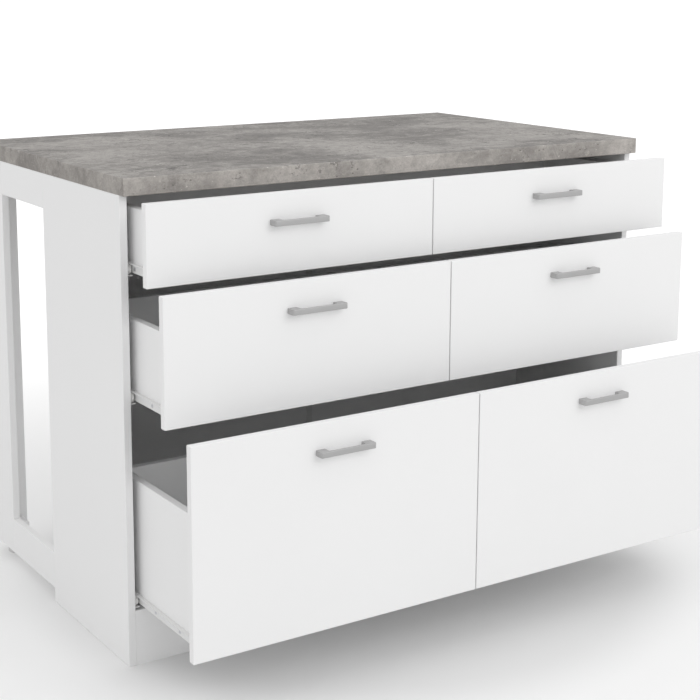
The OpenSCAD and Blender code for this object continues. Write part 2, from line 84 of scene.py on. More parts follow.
# %% [markdown]
# ## How trees of nodes are written
#
# The light, the finishes and the rules for the fittings are all trees of nodes. In code each node
# takes one line to add it and one more for every number and link, which buries what the tree is
# for. So a few helpers add a node and feed it in one call: an input gets a plain number where the
# value is fixed, and a link where another node gives it.

# %% Helpers for nodes
WHITE = (1, 1, 1, 1)


def feed(tree, socket, value):
    """Links a socket, or sets it where the value is a plain number or colour."""
    if isinstance(value, bpy.types.NodeSocket):
        tree.links.new(value, socket)
        return
    opaque = socket.type == "RGBA" and len(value) == 3
    socket.default_value = (*value, 1) if opaque else value


def add(tree, kind, settings=None, **inputs):
    """Adds a node, sets its settings, and feeds its inputs by name (an underscore for a space)."""
    node = tree.nodes.new(kind)
    for key, value in (settings or {}).items():
        setattr(node, key, value)
    for key, value in inputs.items():
        feed(tree, node.inputs[key.replace("_", " ")], value)
    return node


def calculate(tree, operation, first, second=0.0):
    """One step of arithmetic on numbers from other nodes."""
    node = add(tree, "ShaderNodeMath", {"operation": operation})
    feed(tree, node.inputs[0], first)
    feed(tree, node.inputs[1], second)
    return node.outputs[0]


def times(tree, first, second):
    """The step that is needed most: a product."""
    return calculate(tree, "MULTIPLY", first, second)


def ease(tree, value, low, high, to_low=0.0, to_high=1.0):
    """Maps low..high to to_low..to_high with a smooth start and end."""
    return add(tree, "ShaderNodeMapRange", {"interpolation_type": "SMOOTHSTEP"}, Value=value,
               From_Min=low, From_Max=high, To_Min=to_low, To_Max=to_high).outputs["Result"]


print("node helpers ready")

# %% [markdown]
# ## Light and floor
#
# White furniture is lit by a big bright studio: light comes from everywhere, and one large soft
# lamp gives the shadows a direction. The world is that studio. What the camera sees behind the
# island, and what metal mirrors, is plain white, while the boards get a slightly lower level, so
# that a colour renders about as it is written. The floor is pale. Round the island it is simply
# lit, so that it keeps the soft shadow under the drawers. Further out a glow for the camera alone
# grows with the distance, until the floor and the backdrop meet in the same white.

# %% World
STUDIO_LEVEL = 0.93

scene.view_settings.view_transform = "Standard"
world = bpy.data.worlds.new("studio")
scene.world = world
world.use_nodes = True
sky = world.node_tree
studio = sky.nodes["Background"]
studio.inputs["Color"].default_value = WHITE
studio.inputs["Strength"].default_value = STUDIO_LEVEL
backdrop = add(sky, "ShaderNodeBackground", Color=WHITE)
rays = sky.nodes.new("ShaderNodeLightPath").outputs
seen = calculate(sky, "MAXIMUM", rays["Is Camera Ray"], rays["Is Glossy Ray"])
seen = calculate(sky, "MAXIMUM", seen, rays["Is Transmission Ray"])
choose = sky.nodes.new("ShaderNodeMixShader")
for socket, source in zip(choose.inputs, (seen, studio.outputs[0], backdrop.outputs[0])):
    sky.links.new(source, socket)
sky.links.new(choose.outputs[0], sky.nodes["World Output"].inputs["Surface"])
print("studio level", STUDIO_LEVEL)

# %% Soft lamp
ISLAND_MIDDLE = (0, 0.2, 0.5)
LAMP_PLACE = (1.2, -4.4, 3.4)
LAMP_SIZE, LAMP_WATTS = 2.6, 46

lamp = bpy.data.objects.new("key", bpy.data.lights.new("key", "AREA"))
lamp.data.size, lamp.data.energy = LAMP_SIZE, LAMP_WATTS
lamp.location = LAMP_PLACE
aim = Vector(ISLAND_MIDDLE) - Vector(LAMP_PLACE)
lamp.rotation_euler = aim.to_track_quat("-Z", "Y").to_euler()
scene.collection.objects.link(lamp)
print("lamp of", LAMP_SIZE, "m at", LAMP_PLACE, "with", LAMP_WATTS, "W")

# %% Floor
FLOOR_HALF = 60
FLOOR_GREY = 0.80

floor_mesh = bpy.data.meshes.new("floor")
corners = [(x * FLOOR_HALF, y * FLOOR_HALF, 0) for x, y in ((-1, -1), (1, -1), (1, 1), (-1, 1))]
floor_mesh.from_pydata(corners, [], [(0, 1, 2, 3)])
floor = bpy.data.objects.new("floor", floor_mesh)
scene.collection.objects.link(floor)
pale = bpy.data.materials.new("pale_floor")
pale.use_nodes = True
floor_mesh.materials.append(pale)
paint = pale.node_tree
matt = paint.nodes["Principled BSDF"]
matt.inputs["Base Color"].default_value = (FLOOR_GREY, FLOOR_GREY, FLOOR_GREY, 1)
matt.inputs["Roughness"].default_value = 0.9
matt.inputs["Specular IOR Level"].default_value = 0.0
print("floor", 2 * FLOOR_HALF, "m square, grey", FLOOR_GREY)

# %% Floor glow, which only the camera sees
GLOW_CENTRE = (0.03, 0.22, 0)
GLOW_RINGS = ((0.59, 0.765, 0.116), (0.85, 2.6, 0.30))  # starts at, full at, strength

on_floor = paint.nodes.new("ShaderNodeTexCoord").outputs["Object"]
distance = add(paint, "ShaderNodeVectorMath", {"operation": "DISTANCE"}, Vector=on_floor)
distance.inputs[1].default_value = GLOW_CENTRE
near, far = [ease(paint, distance.outputs["Value"], start, full, 0.0, strength)
             for start, full, strength in GLOW_RINGS]
camera_ray = paint.nodes.new("ShaderNodeLightPath").outputs["Is Camera Ray"]
glow = add(paint, "ShaderNodeEmission",
           Strength=times(paint, calculate(paint, "ADD", near, far), camera_ray))
glowing = paint.nodes.new("ShaderNodeAddShader")
paint.links.new(matt.outputs[0], glowing.inputs[0])
paint.links.new(glow.outputs[0], glowing.inputs[1])
paint.links.new(glowing.outputs[0], paint.nodes["Material Output"].inputs["Surface"])
print("glow in", len(GLOW_RINGS), "rings round", GLOW_CENTRE)

# %% [markdown]
# ## How the finishes are written
#
# A finish is a Principled shader with a few nodes in front of it. A number that is the same all
# over the surface is set on the shader's own socket. What varies, such as cloudy colour or a
# grain, comes from noise on Object coordinates: these are metres in the island's own frame, so a
# pattern keeps its real size and stays on its board when a drawer slides.

# %% Helpers for finishes: patterns and colours
def placed(tree, stretch=(1, 1, 1), shift=(0, 0, 0)):
    """Object coordinates in metres, moved, and stretched along each axis to pack a pattern."""
    where = tree.nodes.new("ShaderNodeTexCoord").outputs["Object"]
    return add(tree, "ShaderNodeMapping", Vector=where, Scale=stretch,
               Location=shift).outputs["Vector"]


def noise(tree, scale, detail=2.0, roughness=0.5, distortion=0.0, **where):
    """Noise from 0 to 1, around 0.5; a metre holds about as many of its blobs as the scale."""
    return add(tree, "ShaderNodeTexNoise", Vector=placed(tree, **where), Scale=scale,
               Detail=detail, Roughness=roughness, Distortion=distortion).outputs["Fac"]


def mix(tree, factor, first, second, way="MIX"):
    """Mixes two colours."""
    node = add(tree, "ShaderNodeMix", {"data_type": "RGBA", "blend_type": way})
    for index, value in ((0, factor), (6, first), (7, second)):
        feed(tree, node.inputs[index], value)
    return node.outputs[2]


def shade(tree, colour, factor, darkest, lightest):
    """Multiplies a colour by a grey that runs from darkest to lightest."""
    grey = mix(tree, factor, (darkest,) * 3, (lightest,) * 3)
    return mix(tree, 1.0, colour, grey, "MULTIPLY")


print("pattern helpers ready")

# %% Helpers for finishes: the shader and what varies it
finishes = {}


def new_finish(name, colour, roughness, **sockets):
    """Makes a finish with a Principled shader, keeps it by name, and returns tree and shader."""
    finish = bpy.data.materials.new(name)
    finish.use_nodes = True
    finish.diffuse_color = (*colour, 1)
    shader = finish.node_tree.nodes["Principled BSDF"]
    shader.inputs["Base Color"].default_value = (*colour, 1)
    shader.inputs["Roughness"].default_value = roughness
    for key, value in sockets.items():
        shader.inputs[key.replace("_", " ")].default_value = value
    finishes[name] = finish
    return finish.node_tree, shader


def colour_by(tree, shader, pattern, first, second):
    """Lets a pattern carry the colour from the first to the second."""
    tree.links.new(mix(tree, pattern, first, second), shader.inputs["Base Color"])


def dull_by(tree, shader, pattern, reach, roughness):
    """Lets a pattern, over its reach, carry the roughness from one value to another."""
    tree.links.new(ease(tree, pattern, *reach, *roughness), shader.inputs["Roughness"])


def bump(tree, shader, height, strength, depth):
    """Roughens the surface by a height pattern; the depth is the real one in metres."""
    node = add(tree, "ShaderNodeBump", Height=height, Strength=strength, Distance=depth)
    tree.links.new(node.outputs["Normal"], shader.inputs["Normal"])


print("finish helpers ready")

# %% [markdown]
# ## Worktop: concrete-look laminate
#
# The worktop is a chipboard core under a printed laminate. The print shows cast concrete: soft
# clouds that run along the board, darker smudges, a fine grain, small pits and a few pale specks.
# A scanned picture could do it, but noise has no seams and no edge, so each of these marks is a
# noise of its own size here, laid over the last. The narrow faces carry a strip of the same
# print, calmer, and a painted highlight makes them lighter: the surface normal picks them out,
# and the long edges get more of it than the short ones.

# %% Worktop finish: cloudy print
DARK_CLOUD, PALE_CLOUD = (0.196, 0.185, 0.175), (0.347, 0.329, 0.311)
DARK_PATCH, PALE_PATCH = (0.143, 0.135, 0.128), (0.407, 0.387, 0.367)
ALONG = (1, 1.25, 1.25)  # packed across the board, so the clouds run along it

tree, shader = new_finish("worktop_laminate", (0.30, 0.288, 0.272), roughness=0.6,
                          Specular_IOR_Level=0.12)
clouds = noise(tree, scale=3.4, detail=9, roughness=0.66, distortion=0.4, stretch=ALONG,
               shift=(2, 0, 5))
patches = noise(tree, scale=15, detail=9, roughness=0.72, distortion=0.6, stretch=ALONG,
                shift=(4, 2, 7))
mottle = noise(tree, scale=60, detail=6, roughness=0.7, distortion=0.3, shift=(9, 1, 3))
colour = mix(tree, ease(tree, clouds, 0.39, 0.61), DARK_CLOUD, PALE_CLOUD)
colour = mix(tree, ease(tree, patches, 0.47, 0.64, 0, 0.5), colour, PALE_PATCH)
colour = mix(tree, ease(tree, patches, 0.36, 0.48, 0.45, 0), colour, DARK_PATCH)
colour = shade(tree, colour, ease(tree, mottle, 0.34, 0.66), 0.87, 1.13)
print("worktop print: clouds of 30 cm, patches of 7 cm, mottling of 2 cm")

# %% Worktop finish: dark dashes, chalk marks and grain
DASH, CHALK = (0.098, 0.093, 0.088), (0.502, 0.482, 0.460)
SLIGHTLY_ALONG = (1, 1.2, 1.2)

areas = noise(tree, scale=7.5, detail=5, roughness=0.6, stretch=(1, 1.3, 1.3), shift=(6, 8, 2))
rough_areas = ease(tree, areas, 0.45, 0.60)


def gathered(tree, spots, elsewhere):
    """Keeps spots as they are in the rough areas, and weakens them elsewhere."""
    return times(tree, spots, ease(tree, rough_areas, 0, 1, elsewhere, 1.0))


dashes = noise(tree, scale=34, detail=9, roughness=0.8, stretch=SLIGHTLY_ALONG, shift=(1, 5, 2))
dashes = ease(tree, dashes, 0.565, 0.605, 0, 0.9)
colour = mix(tree, gathered(tree, dashes, 0.3), colour, DASH)
chalk = noise(tree, scale=50, detail=9, roughness=0.8, stretch=SLIGHTLY_ALONG, shift=(5, 3, 9))
chalk = ease(tree, chalk, 0.575, 0.62, 0, 0.7)
colour = mix(tree, gathered(tree, chalk, 0.35), colour, CHALK)
grain = noise(tree, scale=330, detail=4, roughness=0.7)
colour = shade(tree, colour, ease(tree, grain, 0.3, 0.7), 0.86, 1.14)
print("dashes and chalk marks gather in the rough areas, over a grain of 3 mm")

# %% Worktop finish: pits and specks
PIT, SPECK = (0.060, 0.057, 0.054), (0.62, 0.605, 0.58)


def marks(scale, reach, share, **where):
    """Small spots: one in each Voronoi cell, in only a share of the cells."""
    cell = add(tree, "ShaderNodeTexVoronoi", Scale=scale,
               Vector=placed(tree, stretch=(1.0, 1.5, 1.5), **where))
    spot = ease(tree, cell.outputs["Distance"], reach * 0.5, reach, 1, 0)
    chance = add(tree, "ShaderNodeSeparateColor", Color=cell.outputs["Color"]).outputs["Red"]
    return times(tree, spot, calculate(tree, "GREATER_THAN", chance, 1 - share))


pits = gathered(tree, marks(scale=80, reach=0.25, share=0.42), 0.3)
specks = marks(scale=95, reach=0.19, share=0.18, shift=(3, 1, 6))
colour = mix(tree, times(tree, pits, 0.9), colour, PIT)
colour = mix(tree, times(tree, specks, 0.7), colour, SPECK)
print("pits in the rough areas and specks all over, each a few millimetres across")

# %% Worktop finish: edge strips with painted highlight, gloss and relief
CALM = (0.287, 0.272, 0.257)
# Painted highlight: how much lighter each edge strip is painted, by the axis that it faces.
EDGE_PRINT_AND_PAINTED_LIGHT = (("Y", (1.46, 1.45, 1.44)), ("X", (1.16, 1.15, 1.14)))  # the long edges, the short ones
PIT_DEPTH = -2.0  # in heights of the grain

normal = tree.nodes.new("ShaderNodeTexCoord").outputs["Normal"]
facing = add(tree, "ShaderNodeSeparateXYZ", Vector=normal).outputs
calmer = mix(tree, 0.3, colour, CALM)
# Painted highlight: each edge strip is multiplied lighter by the factor for its facing, the long
# edges more than the short ones; only the calmer mix is the strip's own print.
for axis, painted_light in EDGE_PRINT_AND_PAINTED_LIGHT:
    on_edge = ease(tree, calculate(tree, "ABSOLUTE", facing[axis]), 0.3, 0.7)
    colour = mix(tree, on_edge, colour, mix(tree, 1.0, calmer, painted_light, "MULTIPLY"))
tree.links.new(colour, shader.inputs["Base Color"])
dull_by(tree, shader, patches, reach=(0.3, 0.7), roughness=(0.56, 0.68))
relief = calculate(tree, "ADD", grain, times(tree, pits, PIT_DEPTH))
bump(tree, shader, relief, strength=0.3, depth=0.0002)
print("worktop finish:", len(tree.nodes), "nodes")

# %% [markdown]
# ## White boards
#
# Fronts, sides and rails are chipboard under a white melamine film with a fine pearl texture.
# From two metres it is simply matt white, but the film is never quite even: the gloss wanders a
# little, and the pearl breaks up the reflections. Both are far below a millimetre, so they are
# noise in roughness and bump and not geometry.

# %% White board finish
tree, shader = new_finish("white_board", (0.868, 0.868, 0.868), roughness=0.46,
                          Specular_IOR_Level=0.4)
wander = noise(tree, scale=6, detail=3)
pearl = noise(tree, scale=900, detail=2, roughness=0.6)
colour_by(tree, shader, wander, (0.859, 0.859, 0.859), (0.877, 0.877, 0.877))
dull_by(tree, shader, wander, reach=(0.3, 0.7), roughness=(0.42, 0.52))
bump(tree, shader, pearl, strength=0.12, depth=0.00005)
print("white board finish:", len(tree.nodes), "nodes")

# %% [markdown]
# ## Plastic, nylon and lacquered steel
#
# The joining strips are extruded plastic, the rollers are turned from milky nylon, and the
# runners are folded steel with a baked white lacquer. All three are off-white, and what tells
# them apart is the gloss: a drawn grain along the strips, a soft glow in the nylon, and an orange
# peel in the lacquer.

# %% Plastic, nylon and lacquer finishes
tree, shader = new_finish("white_plastic", (0.78, 0.78, 0.775), roughness=0.38)
drawn = noise(tree, scale=12, detail=3, stretch=(60, 3, 3))
colour_by(tree, shader, drawn, (0.76, 0.76, 0.755), (0.80, 0.80, 0.795))
dull_by(tree, shader, drawn, reach=(0.2, 0.8), roughness=(0.32, 0.46))

tree, shader = new_finish("roller_nylon", (0.77, 0.77, 0.755), roughness=0.5,
                          Subsurface_Weight=0.25, Subsurface_Scale=0.002,
                          Subsurface_Radius=(1, 1, 1))
milky = noise(tree, scale=160, detail=3)
colour_by(tree, shader, milky, (0.75, 0.75, 0.735), (0.79, 0.79, 0.775))
bump(tree, shader, milky, strength=0.2, depth=0.0001)

tree, shader = new_finish("coated_steel", (0.775, 0.775, 0.77), roughness=0.4)
peel = noise(tree, scale=420, detail=2)
colour_by(tree, shader, peel, (0.76, 0.76, 0.755), (0.79, 0.79, 0.785))
dull_by(tree, shader, peel, reach=(0.2, 0.8), roughness=(0.34, 0.46))
bump(tree, shader, peel, strength=0.25, depth=0.0001)
print("plastic, nylon and lacquer ready")

# %% [markdown]
# ## Handles and screws
#
# The bow handles are cast metal under a satin silver-grey lacquer, which looks grey and soft
# and hardly mirrors anything. The screws and brackets are zinc-plated steel, which does: bright,
# slightly blue, and mottled where the plating cooled.

# %% Metal finishes
tree, shader = new_finish("handle_metal", (0.43, 0.428, 0.428), roughness=0.42, Metallic=0.35)
flow = noise(tree, scale=40, detail=4)
sand = noise(tree, scale=1500, detail=2)
colour_by(tree, shader, flow, (0.41, 0.408, 0.408), (0.45, 0.448, 0.448))
dull_by(tree, shader, flow, reach=(0.3, 0.7), roughness=(0.38, 0.48))
bump(tree, shader, sand, strength=0.15, depth=0.00005)

tree, shader = new_finish("screw_steel", (0.66, 0.67, 0.69), roughness=0.3, Metallic=1.0)
plating = noise(tree, scale=260, detail=4, roughness=0.7)
colour_by(tree, shader, plating, (0.58, 0.59, 0.62), (0.74, 0.74, 0.75))
dull_by(tree, shader, plating, reach=(0.3, 0.7), roughness=(0.24, 0.42))
bump(tree, shader, plating, strength=0.2, depth=0.0001)
print("handle and screw metal ready")

# %% [markdown]
# ## Bare wood and the levelling feet
#
# The dowels are plain beech. Beech has a warm, even colour with short dark flecks, which a noise
# stretched along the grain gives. The feet are moulded from pale plastic with a fine eroded
# texture, so that they hardly show under the legs.

# %% Wood and foot finishes
FLECK = (0.36, 0.22, 0.12)

tree, shader = new_finish("bare_wood", (0.60, 0.42, 0.25), roughness=0.6)
rings = noise(tree, scale=9, detail=4, roughness=0.6, distortion=0.8, stretch=(9, 9, 1))
flecks = noise(tree, scale=40, detail=2, stretch=(16, 16, 1.6))
flecks = ease(tree, flecks, 0.60, 0.70, 0, 0.5)
wood = mix(tree, ease(tree, rings, 0.3, 0.7), (0.52, 0.35, 0.20), (0.66, 0.48, 0.30))
colour_by(tree, shader, flecks, wood, FLECK)
bump(tree, shader, rings, strength=0.3, depth=0.0003)

tree, shader = new_finish("foot_plastic", (0.72, 0.72, 0.715), roughness=0.5)
eroded = noise(tree, scale=900, detail=2)
colour_by(tree, shader, eroded, (0.70, 0.70, 0.695), (0.74, 0.74, 0.735))
dull_by(tree, shader, eroded, reach=(0.2, 0.8), roughness=(0.42, 0.58))
bump(tree, shader, eroded, strength=0.4, depth=0.0001)
print("wood and foot ready")

# %% [markdown]
# ## Dressing the solids
#
# The CAD record names a material slot for each part. Each solid keeps its shape and gets the
# finish of its slot, so a part that moves on another body needs nothing more.

# %% Finishes onto the CAD nodes
slots = {part["node"]: part["material_slot"] for part in frame["record"]["subparts"]}
for name, node in nodes.items():
    node.data.materials.clear()
    node.data.materials.append(finishes[slots[name]])
print("dressed", len(nodes), "nodes in", len(set(slots.values())), "finishes")

# %% [markdown]
# ## Fittings that repeat
#
# Screws, brackets, handles and the ribs of the feet are the same small thing many times over.
# Each kind could be modelled once and copied by hand, but a Geometry Nodes tree keeps it as a
# rule: named sizes go in, and points say where each one sits and which way it looks. The tree
# runs once on a mesh of such points. Its result is then kept as a plain mesh, because the
# finished model has to hold real faces and not a recipe.

# %% Helpers for fittings: a tree and its named sizes
def new_tree(name, **sizes):
    """A tree with geometry in and out and named inputs; a size is a number and its default."""
    tree = bpy.data.node_groups.new(name, "GeometryNodeTree")
    for way in ("OUTPUT", "INPUT"):
        tree.interface.new_socket("Geometry", in_out=way, socket_type="NodeSocketGeometry")
    for key, value in sizes.items():
        kind = "NodeSocketInt" if isinstance(value, int) else "NodeSocketFloat"
        size = tree.interface.new_socket(key.replace("_", " "), in_out="INPUT", socket_type=kind)
        size.default_value = value
    tree.interface.new_socket("Finish", in_out="INPUT", socket_type="NodeSocketMaterial")
    return tree, tree.nodes.new("NodeGroupInput").outputs


def end_tree(tree, given, geometry):
    """Ends a tree: real faces instead of instances, in one finish."""
    real = add(tree, "GeometryNodeRealizeInstances", Geometry=geometry)
    finished = add(tree, "GeometryNodeSetMaterial", Geometry=real.outputs[0],
                   Material=given["Finish"])
    tree.links.new(finished.outputs[0], tree.nodes.new("NodeGroupOutput").inputs[0])
    print("tree", tree.name, "with", len(tree.nodes), "nodes")


print("tree helpers ready")

# %% Helpers for fittings: vectors, moves and cuts
def vector(tree, **parts):
    """A vector from its X, Y and Z, where what isn't given is 0."""
    return add(tree, "ShaderNodeCombineXYZ", **parts).outputs[0]


def position(tree):
    """Where each point is, as its X, Y and Z."""
    at = add(tree, "GeometryNodeInputPosition").outputs[0]
    return add(tree, "ShaderNodeSeparateXYZ", Vector=at).outputs


def moved(tree, geometry, **move):
    """The geometry, moved by a Translation and turned by a Rotation."""
    return add(tree, "GeometryNodeTransform", Geometry=geometry, **move).outputs[0]


def subtract(tree, block, *others):
    """Takes the other solids out of the block."""
    cut = add(tree, "GeometryNodeMeshBoolean", {"operation": "DIFFERENCE", "solver": "EXACT"})
    tree.links.new(block, cut.inputs["Mesh 1"])
    for other in others:
        tree.links.new(other, cut.inputs["Mesh 2"])
    return cut.outputs["Mesh"]


print("shape helpers ready")

# %% Helpers for fittings: what a point carries, and a shape on every point
def carried(tree, kind, name):
    """Reads what a point carries, such as the way it looks."""
    return add(tree, "GeometryNodeInputNamedAttribute", {"data_type": kind},
               Name=name).outputs["Attribute"]


def along_direction(tree):
    """The turn that brings +Z to the direction that each point carries."""
    return add(tree, "FunctionNodeAlignRotationToVector", {"axis": "Z"},
               Vector=carried(tree, "FLOAT_VECTOR", "direction")).outputs["Rotation"]


def set_on(tree, places, shape, **turn_and_size):
    """Sets the shape on every point."""
    return add(tree, "GeometryNodeInstanceOnPoints", Points=places, Instance=shape,
               **turn_and_size).outputs[0]


print("instance helpers ready")

# %% Helpers for fittings: from points to a plain mesh
def points(places, **values):
    """A mesh of loose points that carry named values: numbers or directions."""
    mesh = bpy.data.meshes.new("points")
    mesh.from_pydata(places, [], [])
    for name, column in values.items():
        kind = "FLOAT_VECTOR" if hasattr(column[0], "__len__") else "FLOAT"
        layer = mesh.attributes.new(name, kind, "POINT")
        for item, value in zip(layer.data, column):
            setattr(item, "vector" if kind == "FLOAT_VECTOR" else "value", value)
    return mesh


def grown(tree, mesh, finish, rounding=0.0, **sizes):
    """Runs a tree on the points as a plain mesh; rounding bevels the edges that the tree marks."""
    holder = bpy.data.objects.new("holder", mesh)
    scene.collection.objects.link(holder)
    modifier = holder.modifiers.new("tree", "NODES")
    modifier.node_group = tree
    values = {key.replace("_", " "): value for key, value in sizes.items()}
    values["Finish"] = finishes[finish]
    for item in tree.interface.items_tree:
        if item.in_out == "INPUT" and item.name in values:
            modifier[item.identifier] = values[item.name]
    if rounding:
        bevel = holder.modifiers.new("rounding", "BEVEL")
        bevel.width, bevel.segments, bevel.limit_method = rounding, 3, "WEIGHT"
        bevel.use_clamp_overlap = False
    bpy.context.view_layer.update()
    ready = holder.evaluated_get(bpy.context.evaluated_depsgraph_get())
    result = bpy.data.meshes.new_from_object(ready)
    bpy.data.objects.remove(holder)
    return result


print("point helpers ready")

# %% Helpers for fittings: a finished piece
SHARP = math.radians(35)  # an edge that turns more than this stays crisp


def finished_piece(name, meshes, finish, body, *replaced):
    """Joins plain meshes to one object at the origin, shades it, and hangs it on its body."""
    joined = bmesh.new()
    for mesh in meshes:
        joined.from_mesh(mesh)
    whole = bpy.data.meshes.new(name)
    joined.to_mesh(whole)
    joined.free()
    whole.materials.clear()
    whole.materials.append(finishes[finish])
    whole.polygons.foreach_set("material_index", [0] * len(whole.polygons))
    whole.shade_smooth()
    whole.set_sharp_from_angle(angle=SHARP)
    piece = bpy.data.objects.new(name, whole)
    scene.collection.objects.link(piece)
    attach(piece, body)
    if replaced:
        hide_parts(*replaced)
    print(name, "rides on", body, "with", len(whole.polygons), "faces")


print("piece helper ready")

# %% [markdown]
# ## Cross-head screws
#
# A pan-head screw is a low dome with steep sides and a cross punched into it, on a plain shank.
# The dome follows a rule: it is half a ball whose height is raised to a power below one, which
# lifts the shoulders. The lower half of the ball is pressed flat and becomes the underside. Two
# crossed blocks then cut the recess out. Each point carries its screw's length and the width
# and height of its head, so pan heads and the flat heads inside the runners share one tree.

# %% Screw tree: a head with a radius of 1 and a height of 1
SHOULDER = 0.62  # the power that lifts the shoulders of the dome

screw, given = new_tree("cross_head_screw", Shank_Radius=0.002, Recess_Width=0.26,
                        Recess_Reach=1.15, Recess_Depth=0.6, Corners=18)
ball = add(screw, "GeometryNodeMeshUVSphere", Segments=given["Corners"], Rings=10, Radius=1.0)
at = position(screw)
height = calculate(screw, "POWER", calculate(screw, "MAXIMUM", at["Z"], 0.0), SHOULDER)
dome = add(screw, "GeometryNodeSetPosition", Geometry=ball.outputs["Mesh"],
           Position=vector(screw, X=at["X"], Y=at["Y"], Z=height))
arms = []
for first, second in (("Recess Reach", "Recess Width"), ("Recess Width", "Recess Reach")):
    size = vector(screw, X=given[first], Y=given[second],
                  Z=times(screw, given["Recess Depth"], 2.0))
    arm = add(screw, "GeometryNodeMeshCube", Size=size)
    arms.append(moved(screw, arm.outputs["Mesh"], Translation=(0, 0, 1)))
head = subtract(screw, dome.outputs[0], *arms)
print("a dome with", len(arms), "blocks taken out")

# %% Screw tree: heads and shanks on the points
head_radius = carried(screw, "FLOAT", "head_radius")
head_size = vector(screw, X=head_radius, Y=head_radius, Z=carried(screw, "FLOAT", "head_height"))
heads = set_on(screw, given["Geometry"], head, Rotation=along_direction(screw), Scale=head_size)
pin = add(screw, "GeometryNodeMeshCylinder", Vertices=12, Radius=given["Shank Radius"], Depth=1.0)
hanging = moved(screw, pin.outputs["Mesh"], Translation=(0, 0, -0.5))
shank_size = vector(screw, X=1.0, Y=1.0, Z=carried(screw, "FLOAT", "length"))
shanks = set_on(screw, given["Geometry"], hanging, Rotation=along_direction(screw),
                Scale=shank_size)
both_parts = screw.nodes.new("GeometryNodeJoinGeometry")
for part in (heads, shanks):
    screw.links.new(part, both_parts.inputs[0])
end_tree(screw, given, both_parts.outputs[0])


def screws(rows):
    """Runs the screw tree on rows of place, direction, length and head."""
    places, directions, lengths, sizes = zip(*rows)
    carrier = points(places, direction=directions, length=lengths,
                     head_radius=[radius for radius, _ in sizes],
                     head_height=[height for _, height in sizes])
    return grown(screw, carrier, "screw_steel")


# %% Where the screws of a drawer sit
PAN, FLAT = (0.004, 0.0024), (0.0035, 0.0009)  # radius and height of a head
FIXING_ACROSS, FIXING_UP = 0.1, 0.026  # from the middle and the side, from the edges
FIXING_LENGTH = 0.026
HANDLE_HOLES, HANDLE_THREAD = 0.096, 0.008  # apart, and how far a screw goes in
RUNNER_HOLES, RUNNER_HOLE_UP = (0.086, 0.182, 0.285), 0.0065
RUNNER_SHEET, RUNNER_SCREW_LENGTH = 0.0012, 0.01245


def drawer_screws(row):
    """Every screw of a drawer: place under its head, the way the head looks, length, head."""
    front_low, front_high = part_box(f"drawer_{row}_front_right")
    side_low, side_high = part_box(f"drawer_{row}_side_right")
    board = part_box(f"drawer_{row}_inner_front")[1][1]
    handle_low, handle_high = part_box(f"drawer_{row}_handles")
    middle = (front_low[0] + front_high[0]) / 2
    grip_back = board if row == 1 else front_high[1]
    grip_height = (handle_low[2] + handle_high[2]) / 2
    grip_length = grip_back - front_low[1] + HANDLE_THREAD
    runner_face = side_high[0] + RUNNER_SHEET
    rows = []
    for hand in (-1, 1):
        for x in (FIXING_ACROSS, side_low[0] - FIXING_ACROSS):
            for z in (side_low[2] + FIXING_UP, side_high[2] - FIXING_UP):
                rows.append(((hand * x, board, z), (0, 1, 0), FIXING_LENGTH, PAN))
        for x in (middle - HANDLE_HOLES / 2, middle + HANDLE_HOLES / 2):
            rows.append(((hand * x, grip_back, grip_height), (0, 1, 0), grip_length, PAN))
        for y in RUNNER_HOLES:
            place = (hand * runner_face, side_low[1] + y, side_low[2] + RUNNER_HOLE_UP)
            rows.append((place, (hand, 0, 0), RUNNER_SCREW_LENGTH, FLAT))
    return rows


print(len(drawer_screws(1)), "screws to a drawer")

# %% Screws of the three drawers
DRAWERS = {1: "top_drawer", 2: "middle_drawer", 3: "bottom_drawer"}

for row, body in DRAWERS.items():
    finished_piece(f"screws_of_{body}", [screws(drawer_screws(row))], "screw_steel", body,
                   f"drawer_{row}_screws")

# %% [markdown]
# ## Bow handles
#
# The handle is a cast bar on two broad feet. Seen from above it is a rectangle with two rounded
# corners, out of which a smaller rounded rectangle is taken, so two filleted outlines and one
# subtraction give it from seven named sizes. Casting leaves no sharp edge: the tree marks every
# edge but those that lie on the drawer front, and a bevel rounds the marked ones.

# %% Rounded blocks: an outline with filleted corners, drawn up to a prism
ROUND_STEPS = 7


def rounded_block(tree, width, depth, radius, height, move, one_corner=False):
    """A block with its corners on the -Y side filleted, or only that at -X -Y."""
    outline = add(tree, "GeometryNodeCurvePrimitiveQuadrilateral", Width=width, Height=depth)
    corner = position(tree)
    chosen = calculate(tree, "LESS_THAN", corner["Y"], 0.0)
    if one_corner:
        chosen = times(tree, chosen, calculate(tree, "LESS_THAN", corner["X"], 0.0))
    rounded = add(tree, "GeometryNodeFilletCurve", {"mode": "POLY"}, Curve=outline.outputs[0],
                  Count=ROUND_STEPS, Radius=times(tree, chosen, radius))
    half = times(tree, height, 0.5)
    rail = add(tree, "GeometryNodeCurvePrimitiveLine", End=vector(tree, Z=half),
               Start=vector(tree, Z=times(tree, half, -1.0)))
    prism = add(tree, "GeometryNodeCurveToMesh", Curve=rail.outputs[0],
                Profile_Curve=rounded.outputs[0], Fill_Caps=True)
    return moved(tree, prism.outputs[0], Translation=move)


print("a rounded corner has", ROUND_STEPS, "steps")

# %% Handle tree
HANDLE_LENGTH = 0.116
SPARE = 0.01  # how far a cutting block reaches past what it cuts
CREASE = math.radians(40)  # an edge that turns more than this gets rounded
FRONT_SKIN = -0.0002  # what lies behind this touches the drawer front

